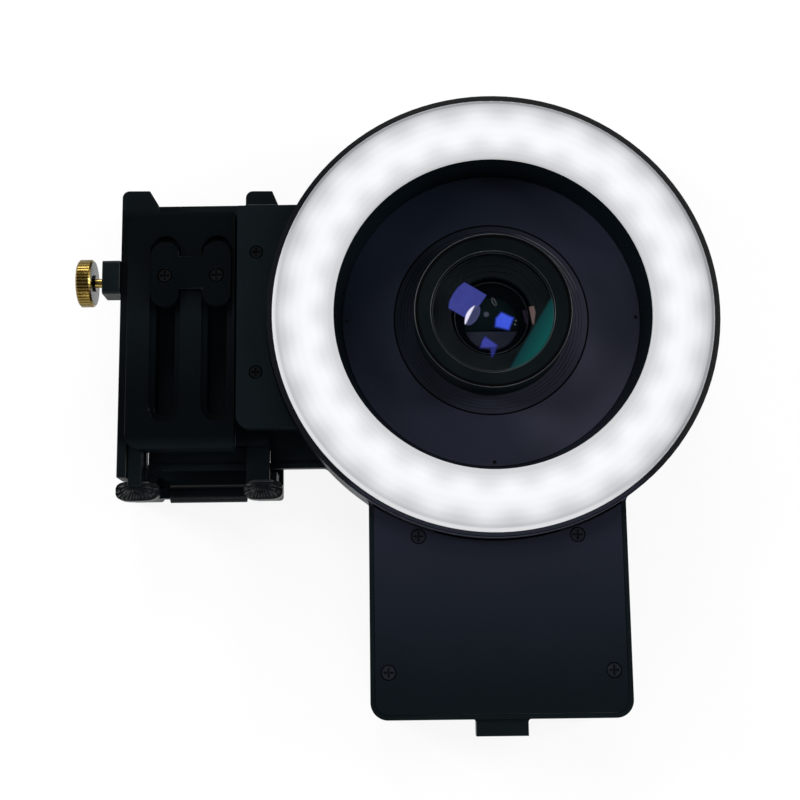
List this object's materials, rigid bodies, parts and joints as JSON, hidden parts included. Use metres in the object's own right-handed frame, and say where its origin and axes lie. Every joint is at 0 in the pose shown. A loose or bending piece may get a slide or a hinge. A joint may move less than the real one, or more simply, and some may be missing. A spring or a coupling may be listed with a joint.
{
  "type": "phone ring light",
  "caption": "Ring light round a close-up lens, with a battery box, side buttons and a two-way sliding clamp that grips a phone and locks with a knurled screw.",
  "frame": {"origin": "on the optical axis, level with the front edge of the light's rim", "axes": "+Z out of the lens, away from the phone; +X right and +Y up, seen from the front; the clamp is on the -X side and the battery box on the -Y side"},
  "size_m": [0.1715, 0.1699, 0.0271],
  "materials": {
    "black_plastic": "fine matt texture",
    "black_gloss": "semi-gloss",
    "anodised": "black anodised, fine turning lines",
    "black_metal": "black coated steel",
    "milky": "milky translucent",
    "white_sheet": "white moulded sheet",
    "board": "green solder mask",
    "white_board": "white solder mask",
    "light_chip": "yellow phosphor in a white case",
    "glass": "coated and polished",
    "dark_screw": "black oxide",
    "steel": "ground",
    "brass": "bright, knurled",
    "rubber": "matt, ribbed",
    "foam": "closed-cell foam",
    "cell_wrap": "foil pouch",
    "tape": "foam tape",
    "clear_pipe": "clear",
    "switch_metal": "stamped"
  },
  "bodies": {
    "head": {"rear_shell": "black_plastic", "diffuser": "milky", "inner_cone": "black_gloss", "lens_plate": "black_gloss", "plate_pins": "black_metal", "reflector": "white_sheet", "ring_board": "white_board", "inner_lights": "light_chip", "outer_lights": "light_chip", "board_screws": "steel", "phone_pad": "foam", "lens_flange": "anodised", "box_cover": "black_plastic", "cover_screws": "dark_screw", "battery_cells": "cell_wrap", "board_tape": "tape", "control_board": "board", "charging_socket": "steel", "socket_tongue": "black_plastic", "switch_board": "board", "switches": "switch_metal", "light_pipe": "clear_pipe", "cover_block": "black_plastic", "block_screws": "dark_screw", "slider": "black_plastic", "slider_screws": "dark_screw", "arm_inserts": "brass"},
    "lens": {"lens_barrel": "anodised", "front_ring": "anodised", "front_glass": "glass", "lens_baffle": "anodised", "rear_glass": "glass", "rear_retainer": "anodised"},
    "power": {"power_button": "rubber"},
    "plus": {"plus_button": "rubber"},
    "minus": {"minus_button": "rubber"},
    "clamp": {"clamp_body": "black_plastic", "upper_pad_left": "rubber", "upper_pad_right": "rubber", "lock_block": "black_plastic", "lock_insert": "black_metal"},
    "jaw": {"lower_jaw": "black_plastic", "guide_rod": "steel", "bar_sleeve": "black_metal", "lower_boot_left": "rubber", "lower_boot_right": "rubber", "lower_grip_left": "rubber", "lower_grip_right": "rubber"},
    "lock": {"lock_screw": "brass"}
  },
  "joints": [
    {"name": "clamp_slide", "type": "slide", "parent": "head", "child": "clamp", "axis": [0, 1, 0], "range_m": [0, 0.008]},
    {"name": "jaw_slide", "type": "slide", "parent": "clamp", "child": "jaw", "axis": [0, 1, 0], "range_m": [-0.012, 0.0005]},
    {"name": "lock_turn", "type": "hinge", "parent": "clamp", "child": "lock", "pos_m": [-0.1095, 0.01115, -0.0086], "axis": [1, 0, 0], "range_deg": [0, 720]},
    {"name": "lens_turn", "type": "hinge", "parent": "head", "child": "lens", "pos_m": [0, 0, 0], "axis": [0, 0, 1], "range_deg": [0, 90]},
    {"name": "power_press", "type": "slide", "parent": "head", "child": "power", "axis": [-1, 0, 0], "range_m": [0, 0.0005], "stiffness_N_per_m": 500, "springref_m": -0.0003},
    {"name": "plus_press", "type": "slide", "parent": "head", "child": "plus", "axis": [-1, 0, 0], "range_m": [0, 0.0005], "stiffness_N_per_m": 500, "springref_m": -0.0003},
    {"name": "minus_press", "type": "slide", "parent": "head", "child": "minus", "axis": [-1, 0, 0], "range_m": [0, 0.0005], "stiffness_N_per_m": 500, "springref_m": -0.0003}
  ]
}
